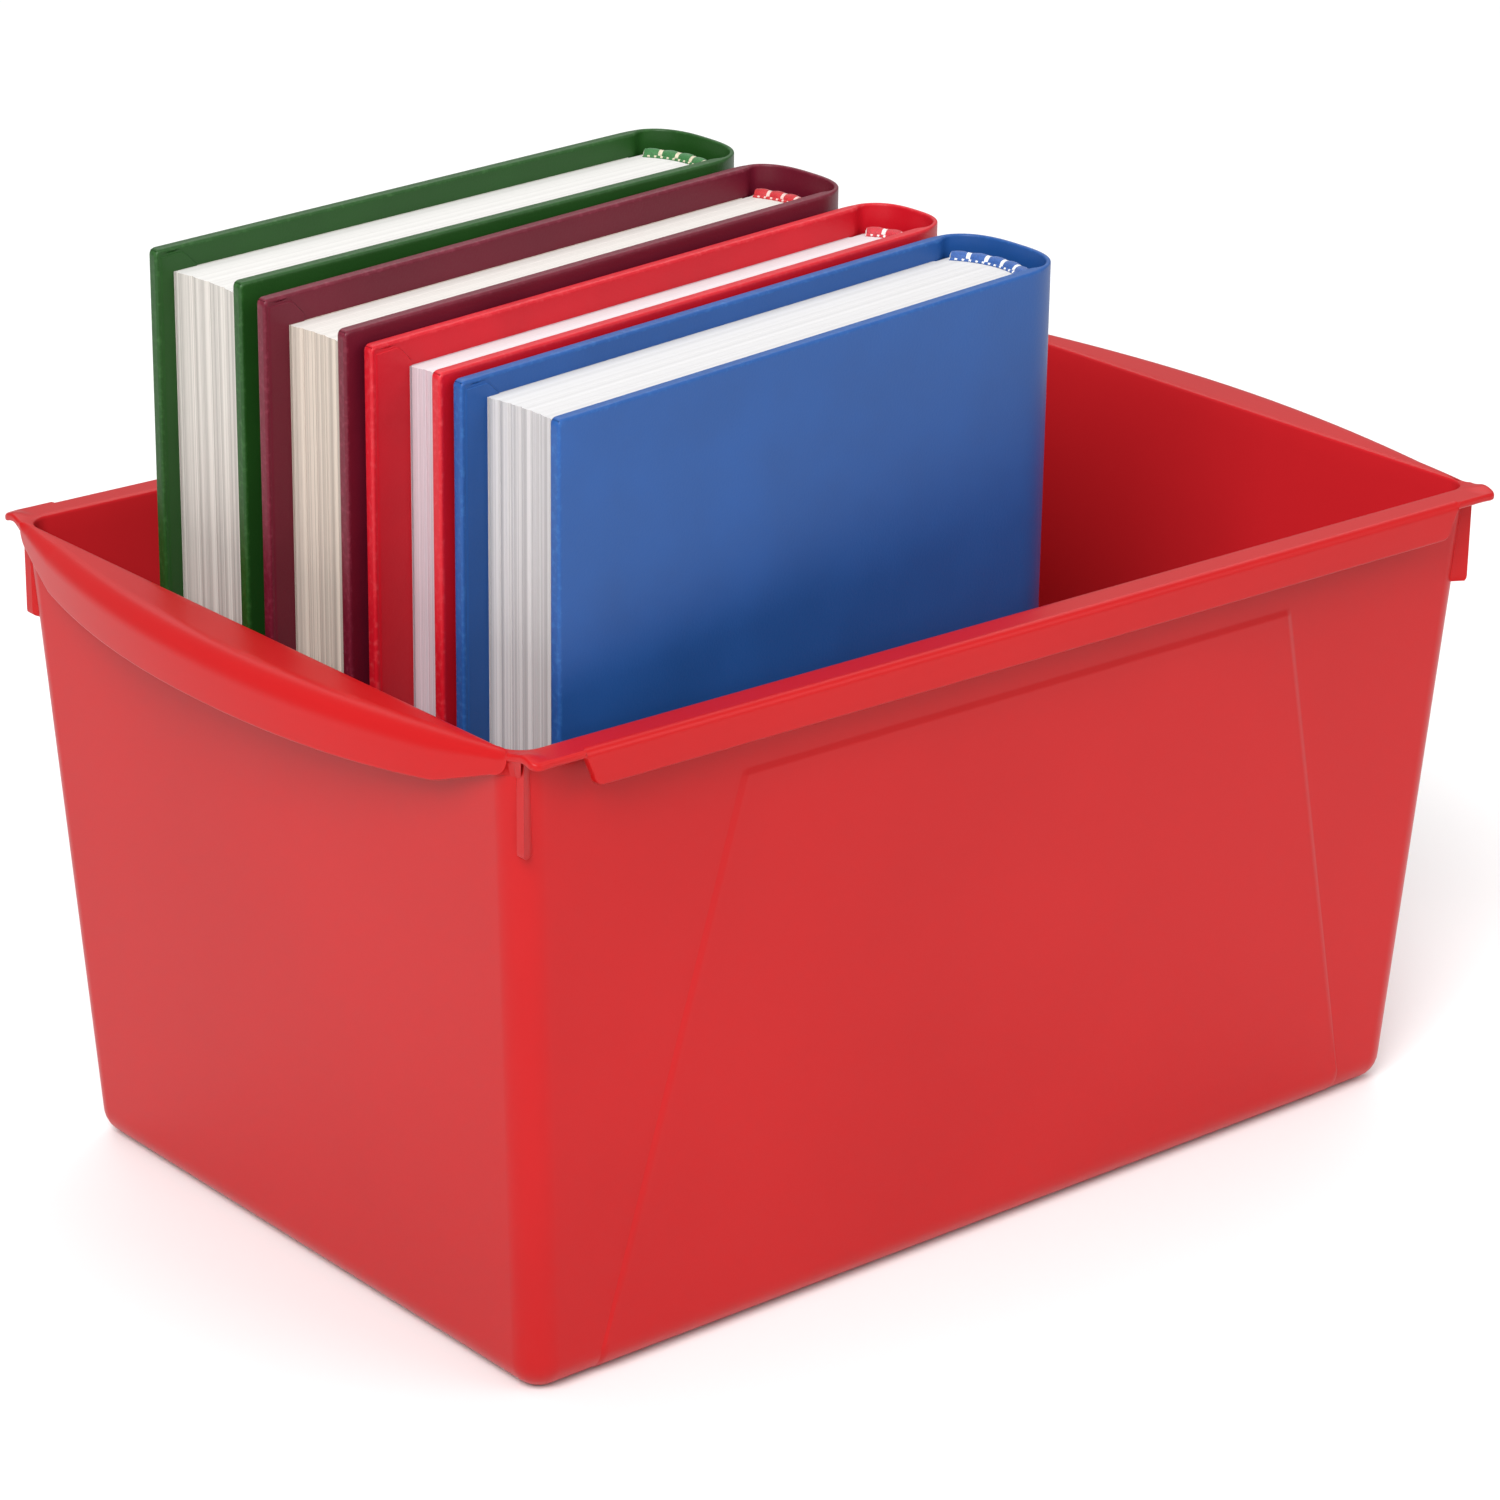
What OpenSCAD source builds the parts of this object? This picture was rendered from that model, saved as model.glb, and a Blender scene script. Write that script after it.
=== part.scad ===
// Book bin with four hardcover books standing in one end of it.
// Origin: centre of the bin's underside. +X runs along the bin, +Y across it, +Z up. Millimetres.

/* [Bin shell] */
// Height of the bin, rim to table
bin_h = 178; // [150:1:220]
// Outside length of the shell at the table
base_l = 306.8; // [290:0.2:330]
// Outside width of the shell at the table
base_w = 199.4; // [190:0.2:215]
// Outside length of the shell carried up to the rim
mouth_l = 330.4; // [326:0.2:350]
// Outside width of the shell carried up to the rim
mouth_w = 217.2; // [214:0.2:230]
// Thickness of the walls
wall_t = 1.8; // [1.5:0.1:2.2]
// Thickness of the floor
floor_t = 2; // [1.8:0.1:2.2]
// Radius of the upright outer corners at the rim
corner_r = 8.5; // [6:0.5:10]
// Radius of the edge all round the floor
base_r = 8.4; // [6:0.2:10]

/* [Bin rim] */
// Thickness of the rim flange
rim_t = 2; // [1.6:0.1:2.4]
// Distance from the middle of the bin to the outer edge of a long side's flange
side_reach = 116.4; // [114:0.2:119]
// Distance from the middle of the bin to the end edge of the flange at a corner
end_reach = 165; // [164:0.5:170]
// Radius of the flange's corners
flange_corner_r = 3; // [2:0.5:8]
// Distance from the middle of the bin to the outermost point of a handle
handle_reach = 181; // [176:0.5:186]
// Depth of a handle's turned-down lip at its middle
lip_drop = 15; // [10:0.5:18]
// Depth of a handle's turned-down lip where it dies out at the corners
lip_drop_end = 6; // [4:0.5:8]
// How much shallower the lip is at the ends of its even stretch than at its middle
lip_rise = 2.6; // [1:0.2:4]
// Half the length of the lip's even stretch
lip_even = 84; // [70:1:90]
// Depth of the skirt that hangs from a long side's flange
skirt_drop = 10; // [6:0.5:14]
// Half the length of the skirt along its lower edge
skirt_half = 145; // [130:1:150]
// How much longer the skirt is at the flange than at its lower edge, at each end
skirt_slant = 4.5; // [2:0.5:8]
// Radius of the bend from flange into lip or skirt
roll_r = 3; // [2.2:0.2:4]
// Depth of the four corner lugs below the rim
lug_drop = 27; // [20:1:34]
// Width of a corner lug
lug_w = 4.6; // [3:0.2:7]
// How far a lug's face is set in from the flange's end edge
lug_inset = 2.4; // [1:0.2:4]
// Radius under a lug
lug_r = 3; // [2:0.5:4]
// Height that the panel on each long wall stands proud
panel_proud = 0.5; // [0.3:0.1:1]

// Half the panel's length along its foot
panel_foot_half = 132; // [110:1:136]
// Half the panel's length along its top
panel_top_half = 94; // [80:1:110]
// Height of the panel's top edge
panel_top = 156.5; // [140:0.5:160]

/* [Books, all four] */
// Thickness of the cover cloth
cloth_t = 0.5; // [0.4:0.1:0.7]
// Thickness of a cover board
board_t = 2.6; // [2:0.1:3.2]
// Width of the cloth turned in over the boards
turn_in = 14; // [10:1:18]
// Thickness of an end leaf
leaf_t = 0.5; // [0.4:0.1:0.6]
// Width of the flexible joint between a board and the spine
joint_w = 7; // [6:0.5:9]
// How far the cloth dips into the joint
joint_dip = 1; // [0.6:0.1:1.4]
// Thickness of the card in the spine
strip_t = 1; // [0.8:0.1:1.4]
// Air gap of the hollow back, between spine card and spine lining
hollow_t = 2; // [1.5:0.1:2.5]
// Thickness of the lining on the back of the pages
lining_t = 0.8; // [0.6:0.1:1]
// Radius of a headband's bead
band_r = 1.5; // [1.2:0.1:1.8]
// Hollow of the pages' fore edge
fore_dish = 1.6; // [1:0.2:2.4]

/* [Book order: green, maroon, red, blue] */
// Position along the bin of each book's fore edge
book_x = [-146, -146, -141.6, -138.8];
// Position across the bin of each book's rear cover, at the fore edge
book_y = [70, 21.8, -17.4, -50];
// Angle of each book's boards to the bin's long walls
book_turn = [7, 8.6, 8.4, 8.4];
// Height of each book
book_h = [255, 253, 249.5, 248];
// Length of each book along the bin, to where its spine begins to round
book_l = [171, 177, 177, 175.6];
// Thickness of each book, measured across the bin
book_d = [41.4, 38, 31.4, 41.6];
// How far each book's covers stand out past its pages at head and foot
square_w = [6.5, 8, 7.5, 5.5];
// How far each book's covers stand out past its pages at the fore edge
fore_square = [5.5, 8, 12.5, 8.5];
// How far each spine swells
spine_swell = [8, 5.5, 7, 8];

/* [Hidden] */
$fn = 96;
eps = 0.01;
GREEN = 0; MAROON = 1; RED = 2; BLUE = 3;
cloth_colour = [[0.14, 0.32, 0.15], [0.40, 0.10, 0.18], [0.80, 0.11, 0.18], [0.19, 0.36, 0.61]];
page_colour = [[0.93, 0.92, 0.88], [0.92, 0.88, 0.80], [0.94, 0.88, 0.89], [0.95, 0.95, 0.94]];
band_colour = [[0.30, 0.50, 0.25], [0.75, 0.15, 0.18], [0.90, 0.55, 0.58], [0.30, 0.45, 0.72]];
bin_colour = [0.80, 0.13, 0.15];
board_colour = [0.55, 0.50, 0.42];
lining_colour = [0.85, 0.82, 0.74];
cover_t = 2 * cloth_t + board_t;                 // a covered board
book_z = floor_t + 0.5;                          // the books' feet, clear of the floor

function half_l(z) = (base_l + (mouth_l - base_l) * z / bin_h) / 2;
function half_w(z) = (base_w + (mouth_w - base_w) * z / bin_h) / 2;
function arc(cx, cy, r, a0, a1, n) = [for (i = [0:n]) [cx + r * cos(a0 + (a1 - a0) * i / n),
                                                       cy + r * sin(a0 + (a1 - a0) * i / n)]];
function bow_r(half, rise) = (half * half + rise * rise) / (2 * rise);   // circle through a chord

// ---- bin ----

// The tapered tub as a solid, shrunk by t all round; the top is carried on to z = top.
module tub(t, top, low) {
    r = base_r - t;
    hull() {
        for (x = [-1, 1], y = [-1, 1]) {
            translate([x * (half_l(base_r) - base_r), y * (half_w(base_r) - base_r), low + r])
                sphere(r, $fn = 32);
            translate([x * (half_l(top) - corner_r), y * (half_w(top) - corner_r), top - eps])
                cylinder(h = eps, r = corner_r - t, $fn = 32);
        }
    }
}

module rounded_plate(l, w, r, t) {
    linear_extrude(t) union() {
        square([l - 2 * r, w], center = true);
        square([l, w - 2 * r], center = true);
        for (x = [-1, 1], y = [-1, 1]) translate([x * (l / 2 - r), y * (w / 2 - r)]) circle(r);
    }
}

// Section of a flange that turns down: flat top from -w to 0, rounded over, then down by drop.
function turned_rim(w, drop) = concat(
    [[-w, bin_h - rim_t]],
    arc(-roll_r, bin_h - roll_r, roll_r - rim_t, 90, 0, 6),
    [[-rim_t, bin_h - drop], [0, bin_h - drop]],
    arc(-roll_r, bin_h - roll_r, roll_r, 0, 90, 10),
    [[-w, bin_h]]);

module side_rim() {
    w = side_reach - half_w(bin_h) + 1;
    intersection() {
        translate([0, side_reach, 0]) rotate([90, 0, 90])
            linear_extrude(2 * (skirt_half + skirt_slant), center = true)
                polygon(turned_rim(w, skirt_drop));
        rotate([90, 0, 0]) linear_extrude(400, center = true)
            polygon([[-skirt_half, bin_h - skirt_drop], [skirt_half, bin_h - skirt_drop],
                     [skirt_half + skirt_slant, bin_h], [-skirt_half - skirt_slant, bin_h]]);
    }
}

// Crescent handle on the +X end: a turned rim swept round a shallow circle, whose lip is
// deepest at the middle and dies out at the corners.
module handle() {
    half = mouth_w / 2 - 1.5;
    r = bow_r(half, handle_reach - mouth_l / 2 - 0.5);
    turn = asin(half / r);
    intersection() {
        translate([handle_reach - r, 0, 0]) rotate([0, 0, -turn])
            rotate_extrude(angle = 2 * turn, $fn = 360) translate([r, 0])
                polygon(turned_rim(28, lip_drop));
        translate([mouth_l / 2 - 6, 0, 0]) rotate([90, 0, 90]) linear_extrude(60)
            polygon(concat([[-half, bin_h], [-half, bin_h - lip_drop_end],
                            [-half + 6, bin_h - lip_drop_end]],
                           [for (i = [-4:4]) [i / 4 * lip_even,
                                              bin_h - lip_drop + lip_rise * pow(abs(i) / 4, 3)]],
                           [[half - 6, bin_h - lip_drop_end], [half, bin_h - lip_drop_end],
                            [half, bin_h]]));
    }
}

// Lug on the end face at a corner, flush with the long wall, rounded under, and the short web
// that ties it to the end of the handle's lip.
module lug() {
    x = end_reach - lug_inset;
    low = bin_h - lug_drop;
    translate([x - 2, mouth_w / 2 - 1.5 - wall_t, bin_h - lip_drop_end])
        cube([4.6, wall_t, lip_drop_end - rim_t / 2]);
    translate([0, mouth_w / 2 - lug_w - 0.4, 0]) rotate([90, 0, 0])
        translate([0, 0, -lug_w]) linear_extrude(lug_w)
            polygon(concat([[base_l / 2, bin_h - rim_t + 0.5], [base_l / 2, low - 4]],
                           [[half_l(low) - 1, low - 4]],
                           arc(x - lug_r, low + lug_r, lug_r, -90, 0, 6),
                           [[x, bin_h - rim_t + 0.5]]));
}

// Raised panel on a long wall, a trapezium wider at the foot, lying on the wall's own slope.
module panel() {
    lean = atan((mouth_w - base_w) / 2 / bin_h);
    translate([0, base_w / 2, 0]) rotate([90 - lean, 0, 0]) mirror([0, 0, 1])
        translate([0, 0, -1]) linear_extrude(1 + panel_proud)
            polygon([[-panel_foot_half, base_r], [panel_foot_half, base_r],
                     [panel_top_half, panel_top], [-panel_top_half, panel_top]]);
}

module bin() {
    color(bin_colour) difference() {
        union() {
            tub(0, bin_h, 0);
            translate([0, 0, bin_h - rim_t])
                rounded_plate(2 * end_reach, 2 * side_reach - 1, flange_corner_r, rim_t);
            for (s = [0, 1]) mirror([0, s, 0]) { side_rim(); panel(); }
            for (s = [0, 1]) mirror([s, 0, 0]) handle();
            for (x = [0, 1], y = [0, 1]) mirror([x, 0, 0]) mirror([0, y, 0]) lug();
        }
        tub(wall_t, bin_h + 3, floor_t);
    }
}

// ---- books ----
// Each book is racked: its fore edge and spine lie square across the bin, and its boards run at
// book_turn to the long walls. x runs from the fore edge to the spine, d is the depth from the
// rear cover towards the front cover.

function lean(b) = tan(book_turn[b]);
function swell_r(b) = bow_r(book_d[b] / 2 - joint_dip, spine_swell[b]);   // outside of the spine
function spine_x(b) = book_l[b] + joint_w;                                 // where it starts
function back_r(b) = swell_r(b) - cloth_t - strip_t - hollow_t - lining_t; // back of the pages

module place(b) translate([book_x[b], book_y[b], book_z]) children();

module slab(b, x0, x1, d0, d1, z0, z1) {
    k = lean(b);
    translate([0, 0, z0]) linear_extrude(z1 - z0)
        polygon([[x0, k * x0 - d0], [x1, k * x1 - d0], [x1, k * x1 - d1], [x0, k * x0 - d1]]);
}

// Same slab, counted in from the front cover.
module front_slab(b, x0, x1, d0, d1, z0, z1)
    slab(b, x0, x1, book_d[b] - d1, book_d[b] - d0, z0, z1);

module at_spine_centre(b)
    translate([spine_x(b) + spine_swell[b] - swell_r(b), lean(b) * spine_x(b) - book_d[b] / 2, 0])
        children();

// Band that follows the spine, from radius r0 to r1, stopping inset short of each cover's face.
module spine_band(b, r0, r1, inset, z0, z1) {
    intersection() {
        at_spine_centre(b) difference() {
            cylinder(h = z1, r = r1);
            translate([0, 0, -1]) cylinder(h = z1 + 2, r = r0);
        }
        slab(b, spine_x(b) - 6, spine_x(b) + 20, inset, book_d[b] - inset, z0, z1 + 1);
    }
}

// Cloth round one board and over the joint, before the board and endpaper are let into it.
// side is 1 for the rear cover and -1 for the front one.
module cover_wrap(b, side) {
    x1 = book_l[b];
    x2 = spine_x(b) + 0.8;
    fold = joint_dip + cloth_t;
    outline = [[0, 0], [x1 + cloth_t, 0], [x1 + cloth_t, joint_dip], [x2, joint_dip],
               [x2, fold], [x1 + cloth_t, fold], [x1 + cloth_t, cover_t], [0, cover_t]];
    linear_extrude(book_h[b]) polygon([for (p = outline)
        [p[0], lean(b) * p[0] - (side > 0 ? p[1] : book_d[b] - p[1])]]);
}

module case_cloth(b) {
    h = book_h[b];
    x1 = book_l[b];
    board = cloth_t + board_t;
    color(cloth_colour[b]) place(b) difference() {
        union() {
            cover_wrap(b, 1);
            cover_wrap(b, -1);
            spine_band(b, swell_r(b) - cloth_t, swell_r(b), joint_dip + cloth_t / 2, 0, h);
        }
        slab(b, cloth_t, x1, cloth_t, board, cloth_t, h - cloth_t);
        front_slab(b, cloth_t, x1, cloth_t, board, cloth_t, h - cloth_t);
        slab(b, turn_in, x1, board - eps, cover_t + 1, turn_in, h - turn_in);
        front_slab(b, turn_in, x1, board - eps, cover_t + 1, turn_in, h - turn_in);
    }
}

module back_board(b)
    color(board_colour) place(b)
        slab(b, cloth_t, book_l[b], cloth_t, cloth_t + board_t, cloth_t, book_h[b] - cloth_t);

module front_board(b)
    color(board_colour) place(b)
        front_slab(b, cloth_t, book_l[b], cloth_t, cloth_t + board_t, cloth_t, book_h[b] - cloth_t);

module spine_strip(b)
    color(board_colour) place(b)
        spine_band(b, swell_r(b) - cloth_t - strip_t, swell_r(b) - cloth_t,
                   cover_t, cloth_t, book_h[b] - cloth_t);

module page_block(b) {
    d0 = cover_t + leaf_t;
    h = book_h[b];
    dish = bow_r(book_d[b] / 2 - d0 - 0.6, fore_dish);
    color(page_colour[b]) place(b) difference() {
        intersection() {
            slab(b, fore_square[b], spine_x(b) + 20, d0, book_d[b] - d0, square_w[b], h - square_w[b]);
            union() {
                at_spine_centre(b) cylinder(h = h, r = back_r(b));
                slab(b, 0, spine_x(b) + spine_swell[b] - swell_r(b), 0, book_d[b], 0, h);
            }
        }
        translate([fore_square[b] + fore_dish - dish, lean(b) * fore_square[b] - book_d[b] / 2, 0])
            cylinder(h = h, r = dish, $fn = 360);
    }
}

module endpaper(b, front) {
    h = book_h[b];
    pasted = [turn_in, book_l[b], cloth_t + board_t, cover_t + eps, turn_in, h - turn_in];
    free = [fore_square[b], book_l[b] - 1, cover_t, cover_t + leaf_t, square_w[b], h - square_w[b]];
    color(page_colour[b]) place(b)
        for (p = [pasted, free])
            if (front) front_slab(b, p[0], p[1], p[2], p[3], p[4], p[5]);
            else slab(b, p[0], p[1], p[2], p[3], p[4], p[5]);
}

module spine_lining(b)
    color(lining_colour) place(b)
        spine_band(b, back_r(b), back_r(b) + lining_t, cover_t + 2 * leaf_t,
                   square_w[b], book_h[b] - square_w[b]);

// Rounded bead on the pages' back edge; at the foot it is the same bead turned over.
module bead(b, z, up) {
    turn = asin((book_d[b] / 2 - cover_t - 2 * leaf_t) / back_r(b)) - 1;
    color(band_colour[b]) place(b) at_spine_centre(b) translate([0, 0, z]) rotate([0, 0, -turn])
        rotate_extrude(angle = 2 * turn) translate([back_r(b) - band_r + 0.6, 0])
            intersection() {
                circle(band_r, $fn = 32);
                translate([-5, up ? 0 : -10]) square(10);
            }
}

module headband(b) bead(b, book_h[b] - square_w[b], true);
module tailband(b) bead(b, square_w[b], false);

bin();

case_cloth(GREEN);  // green_case_cloth
back_board(GREEN);  // green_back_board
front_board(GREEN);  // green_front_board
spine_strip(GREEN);  // green_spine_strip
page_block(GREEN);  // green_page_block
endpaper(GREEN, false);  // green_back_endpaper
endpaper(GREEN, true);  // green_front_endpaper
spine_lining(GREEN);  // green_spine_lining
headband(GREEN);  // green_headband
tailband(GREEN);  // green_tailband

case_cloth(MAROON);  // maroon_case_cloth
back_board(MAROON);  // maroon_back_board
front_board(MAROON);  // maroon_front_board
spine_strip(MAROON);  // maroon_spine_strip
page_block(MAROON);  // maroon_page_block
endpaper(MAROON, false);  // maroon_back_endpaper
endpaper(MAROON, true);  // maroon_front_endpaper
spine_lining(MAROON);  // maroon_spine_lining
headband(MAROON);  // maroon_headband
tailband(MAROON);  // maroon_tailband

case_cloth(RED);  // red_case_cloth
back_board(RED);  // red_back_board
front_board(RED);  // red_front_board
spine_strip(RED);  // red_spine_strip
page_block(RED);  // red_page_block
endpaper(RED, false);  // red_back_endpaper
endpaper(RED, true);  // red_front_endpaper
spine_lining(RED);  // red_spine_lining
headband(RED);  // red_headband
tailband(RED);  // red_tailband

case_cloth(BLUE);  // blue_case_cloth
back_board(BLUE);  // blue_back_board
front_board(BLUE);  // blue_front_board
spine_strip(BLUE);  // blue_spine_strip
page_block(BLUE);  // blue_page_block
endpaper(BLUE, false);  // blue_back_endpaper
endpaper(BLUE, true);  // blue_front_endpaper
spine_lining(BLUE);  // blue_spine_lining
headband(BLUE);  // blue_headband
tailband(BLUE);  // blue_tailband
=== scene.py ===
"""Book bin with four hardcover books: the looks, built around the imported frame.

Lengths below are in millimetres and become metres in one place, mesh_object(). Places come from
the frame's boxes; what a box can't say, such as a wall's thickness, is a named value.
"""

import math
import random

import bpy
from mathutils import Matrix, Vector


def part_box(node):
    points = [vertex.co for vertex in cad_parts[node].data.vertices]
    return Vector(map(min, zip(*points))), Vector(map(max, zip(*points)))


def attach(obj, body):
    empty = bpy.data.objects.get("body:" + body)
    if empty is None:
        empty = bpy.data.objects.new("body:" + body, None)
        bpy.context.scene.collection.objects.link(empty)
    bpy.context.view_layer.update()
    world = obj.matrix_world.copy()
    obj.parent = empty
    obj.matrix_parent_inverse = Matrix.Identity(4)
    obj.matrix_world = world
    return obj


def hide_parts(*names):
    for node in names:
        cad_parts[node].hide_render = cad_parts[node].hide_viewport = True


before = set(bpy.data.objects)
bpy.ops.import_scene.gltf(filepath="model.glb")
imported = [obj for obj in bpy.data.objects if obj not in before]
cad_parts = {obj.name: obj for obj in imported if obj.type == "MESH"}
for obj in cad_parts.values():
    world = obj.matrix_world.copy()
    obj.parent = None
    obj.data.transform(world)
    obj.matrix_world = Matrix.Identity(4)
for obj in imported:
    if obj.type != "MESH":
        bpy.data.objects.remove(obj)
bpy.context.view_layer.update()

MM = 0.001
BOOKS = ("green", "maroon", "red", "blue")


def box_mm(node):
    """Lowest and highest corners of a CAD node, in millimetres."""
    low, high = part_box(node)
    return [c / MM for c in low], [c / MM for c in high]


def mesh_object(name, verts, faces, materials, face_slots=None, edge_wear_and_highlight=None, sharp=40):
    """An object from points in millimetres; sharp is the angle above which an edge stays hard."""
    mesh = bpy.data.meshes.new(name)
    mesh.from_pydata([[c * MM for c in v] for v in verts], [], faces)
    for material in materials:
        mesh.materials.append(material)
    if face_slots:
        mesh.polygons.foreach_set("material_index", face_slots)
    if edge_wear_and_highlight:
        layer = mesh.attributes.new("edge_wear_and_highlight", "FLOAT", "POINT")
        layer.data.foreach_set("value", edge_wear_and_highlight)
    mesh.validate()
    mesh.shade_smooth()
    mesh.set_sharp_from_angle(angle=math.radians(sharp))
    obj = bpy.data.objects.new(name, mesh)
    bpy.context.scene.collection.objects.link(obj)
    flats = obj.modifiers.new("flats_stay_flat", "WEIGHTED_NORMAL")
    flats.keep_sharp = True
    return obj


def outward(verts, faces):
    """The faces of a closed mesh, turned round if they point inwards."""
    volume = 0
    for face in faces:
        first = Vector(verts[face[0]])
        for i in range(1, len(face) - 1):
            volume += first.dot(Vector(verts[face[i]]).cross(Vector(verts[face[i + 1]])))
    return faces if volume > 0 else [tuple(reversed(face)) for face in faces]


def bridge(a, b, n):
    """Quads between two closed rings of n points that start at a and b."""
    return [(a + i, a + (i + 1) % n, b + (i + 1) % n, b + i) for i in range(n)]


def smooth_step(x, low, high):
    """0 at low, 1 at high, and level at both."""
    t = min(1.0, max(0.0, (x - low) / (high - low)))
    return t * t * (3 - 2 * t)


# ---------------------------------------------------------------- materials

def new_material(name):
    material = bpy.data.materials.new(name)
    material.use_nodes = True
    nodes = material.node_tree.nodes
    return material, nodes, material.node_tree.links, nodes["Principled BSDF"]


def noise(nodes, links, coords, scale, detail=3.0, rough=0.5):
    tex = nodes.new("ShaderNodeTexNoise")
    tex.inputs["Scale"].default_value = scale
    tex.inputs["Detail"].default_value = detail
    tex.inputs["Roughness"].default_value = rough
    links.new(coords, tex.inputs["Vector"])
    return tex.outputs["Fac"]


def ramp(nodes, links, fac, stops):
    """Colour ramp; stops are (position, colour)."""
    node = nodes.new("ShaderNodeValToRGB")
    while len(node.color_ramp.elements) < len(stops):
        node.color_ramp.elements.new(0.5)
    for element, (position, colour) in zip(node.color_ramp.elements, stops):
        element.position = position
        element.color = (*colour, 1)
    links.new(fac, node.inputs["Fac"])
    return node.outputs["Color"]


def spread(nodes, links, fac, low, high):
    """Maps a 0 to 1 value onto low to high."""
    node = nodes.new("ShaderNodeMapRange")
    node.inputs["To Min"].default_value = low
    node.inputs["To Max"].default_value = high
    links.new(fac, node.inputs["Value"])
    return node.outputs["Result"]


def bump(nodes, links, height, distance, strength, after=None):
    """A bump of distance millimetres, on top of the one given as after."""
    node = nodes.new("ShaderNodeBump")
    node.inputs["Distance"].default_value = distance * MM
    node.inputs["Strength"].default_value = strength
    links.new(height, node.inputs["Height"])
    if after is not None:
        links.new(after, node.inputs["Normal"])
    return node.outputs["Normal"]


def tinted(colour, factor):
    return tuple(min(1.0, c * factor) for c in colour)


def plastic(name, colour):
    """Moulded polypropylene: fine spark-eroded grain, slight flow marks, soft gloss."""
    material, nodes, links, shader = new_material(name)
    coords = nodes.new("ShaderNodeTexCoord").outputs["Object"]
    flow = noise(nodes, links, coords, 9, 4)
    grain = noise(nodes, links, coords, 2600, 2)
    dents = noise(nodes, links, coords, 26, 1)
    links.new(ramp(nodes, links, flow, [(0.3, tinted(colour, 0.95)), (0.7, tinted(colour, 1.05))]),
              shader.inputs["Base Color"])
    links.new(spread(nodes, links, flow, 0.30, 0.38), shader.inputs["Roughness"])
    large = bump(nodes, links, dents, 0.6, 0.08)
    links.new(bump(nodes, links, grain, 0.05, 0.16, large), shader.inputs["Normal"])
    shader.inputs["Specular IOR Level"].default_value = 0.2
    return material


def cloth(name, colour, worn_and_highlit):
    """Coated book cloth: pressed leather grain over a fine weave, lighter at its edges: wear and
    painted highlight.
    """
    material, nodes, links, shader = new_material(name)
    coords = nodes.new("ShaderNodeTexCoord").outputs["Object"]
    mottle = noise(nodes, links, coords, 35, 4)
    base = ramp(nodes, links, mottle, [(0.3, tinted(colour, 0.92)), (0.7, tinted(colour, 1.08))])
    cells = nodes.new("ShaderNodeTexVoronoi")
    cells.feature = "SMOOTH_F1"
    cells.inputs["Scale"].default_value = 1500
    links.new(coords, cells.inputs["Vector"])
    weave = noise(nodes, links, coords, 3800, 1)
    # Speckled lighter band along the case's edges: partly rubbed wear, partly painted highlight on
    # the rounded arrises.
    wear_and_highlight = nodes.new("ShaderNodeAttribute")
    wear_and_highlight.attribute_name = "edge_wear_and_highlight"
    rub_and_highlight = nodes.new("ShaderNodeMath")
    rub_and_highlight.operation = "MULTIPLY"
    links.new(wear_and_highlight.outputs["Fac"], rub_and_highlight.inputs[0])
    links.new(ramp(nodes, links, noise(nodes, links, coords, 700, 3),
                   [(0.50, (0.0, 0.0, 0.0)), (0.72, (0.42, 0.42, 0.42))]), rub_and_highlight.inputs[1])
    mix = nodes.new("ShaderNodeMix")
    mix.data_type = "RGBA"
    links.new(rub_and_highlight.outputs[0], mix.inputs["Factor"])
    links.new(base, mix.inputs["A"])
    mix.inputs["B"].default_value = (*worn_and_highlit, 1)
    links.new(mix.outputs["Result"], shader.inputs["Base Color"])
    links.new(spread(nodes, links, mottle, 0.36, 0.46), shader.inputs["Roughness"])
    skin = bump(nodes, links, cells.outputs["Distance"], 0.10, 0.26)
    links.new(bump(nodes, links, weave, 0.05, 0.16, skin), shader.inputs["Normal"])
    shader.inputs["Specular IOR Level"].default_value = 0.3
    return material


def paper(name, light, shade, across):
    """Cut paper edges: fine lines, one a leaf, that lie across the book's thickness."""
    material, nodes, links, shader = new_material(name)
    coords = nodes.new("ShaderNodeTexCoord").outputs["Object"]
    depth = nodes.new("ShaderNodeVectorMath")
    depth.operation = "DOT_PRODUCT"
    depth.inputs[1].default_value = across
    links.new(coords, depth.inputs[0])
    leaves = nodes.new("ShaderNodeTexNoise")
    leaves.noise_dimensions = "1D"
    leaves.inputs["Scale"].default_value = 4200
    leaves.inputs["Detail"].default_value = 3
    links.new(depth.outputs["Value"], leaves.inputs["W"])
    groups = nodes.new("ShaderNodeTexNoise")
    groups.noise_dimensions = "1D"
    groups.inputs["Scale"].default_value = 600
    groups.inputs["Detail"].default_value = 1
    links.new(depth.outputs["Value"], groups.inputs["W"])
    mix = nodes.new("ShaderNodeMix")
    mix.data_type = "FLOAT"
    mix.inputs["Factor"].default_value = 0.45
    links.new(leaves.outputs["Fac"], mix.inputs["A"])
    links.new(groups.outputs["Fac"], mix.inputs["B"])
    links.new(ramp(nodes, links, mix.outputs["Result"], [(0.36, shade), (0.58, light)]),
              shader.inputs["Base Color"])
    fibre = noise(nodes, links, coords, 2400, 2)
    lines = bump(nodes, links, leaves.outputs["Fac"], 0.10, 0.35)
    links.new(bump(nodes, links, fibre, 0.04, 0.2, lines), shader.inputs["Normal"])
    shader.inputs["Roughness"].default_value = 0.86
    shader.inputs["Specular IOR Level"].default_value = 0.25
    return material


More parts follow.
